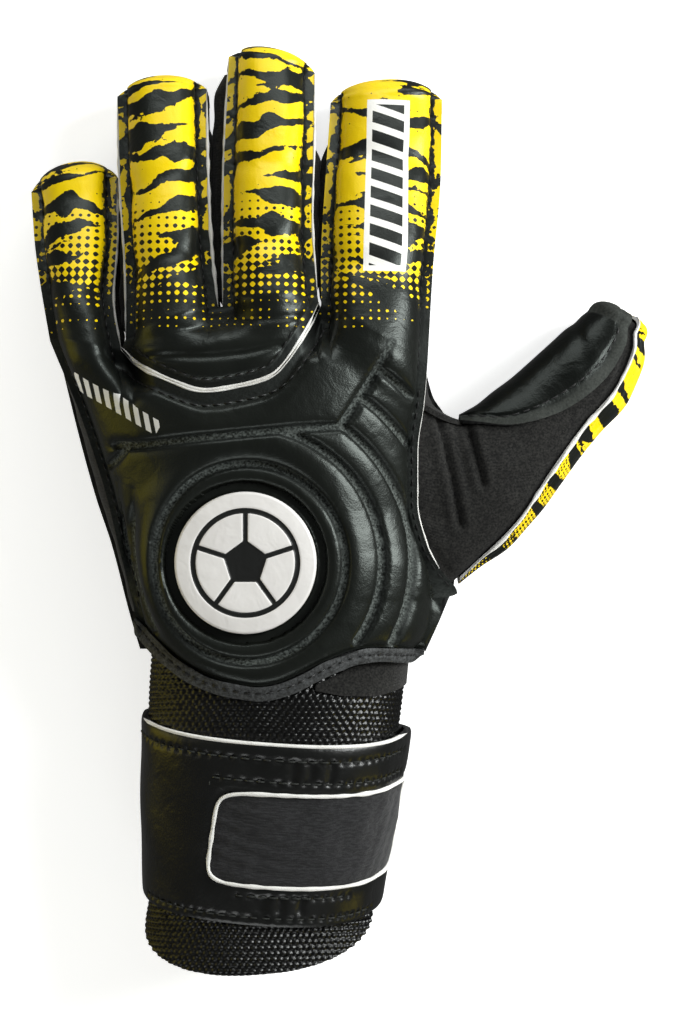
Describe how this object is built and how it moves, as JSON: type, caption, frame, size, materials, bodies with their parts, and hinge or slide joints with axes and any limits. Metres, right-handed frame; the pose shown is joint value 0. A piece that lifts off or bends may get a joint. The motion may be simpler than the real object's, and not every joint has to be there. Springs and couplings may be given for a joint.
{
  "type": "soccer goalkeeper glove",
  "caption": "Left-hand soccer goalkeeper glove with padded latex fingers and palm, printed foam back, textile gussets, knit cuff and a wrap-round wrist strap.",
  "frame": {"origin": "under the middle of the glove's box, on the surface that it rests on", "axes": "+X towards the thumb, +Y from the cuff to the fingertips, +Z out of the back of the hand"},
  "size_m": [0.1938, 0.2858, 0.0618],
  "materials": {
    "print": "printed latex foam, yellow over black, satin",
    "latex": "smooth black latex skin, soft sheen",
    "textile": "fine ribbed black weave, matt",
    "grain": "grained grey-black coated fabric, low sheen",
    "knit": "coarse black rib knit",
    "strap": "smooth glossy black coated elastic",
    "loop": "black brushed loop fabric",
    "badge": "moulded white soft plastic, satin"
  },
  "bodies": {
    "root": {"back_panel": "print", "knuckle_panel": "print", "palm": "latex", "gusset_outer": "textile", "gusset_little_ring": "textile", "gusset_ring_middle": "textile", "gusset_middle_index": "textile", "gusset_index": "textile", "thumb_web": "textile", "thumb_pad": "latex", "thumb_back": "print", "thumb_under": "textile", "emblem_disc": "badge", "back_hem": "grain", "wrist_band": "textile", "cuff": "knit", "strap": "strap", "strap_patch": "loop"}
  },
  "joints": []
}
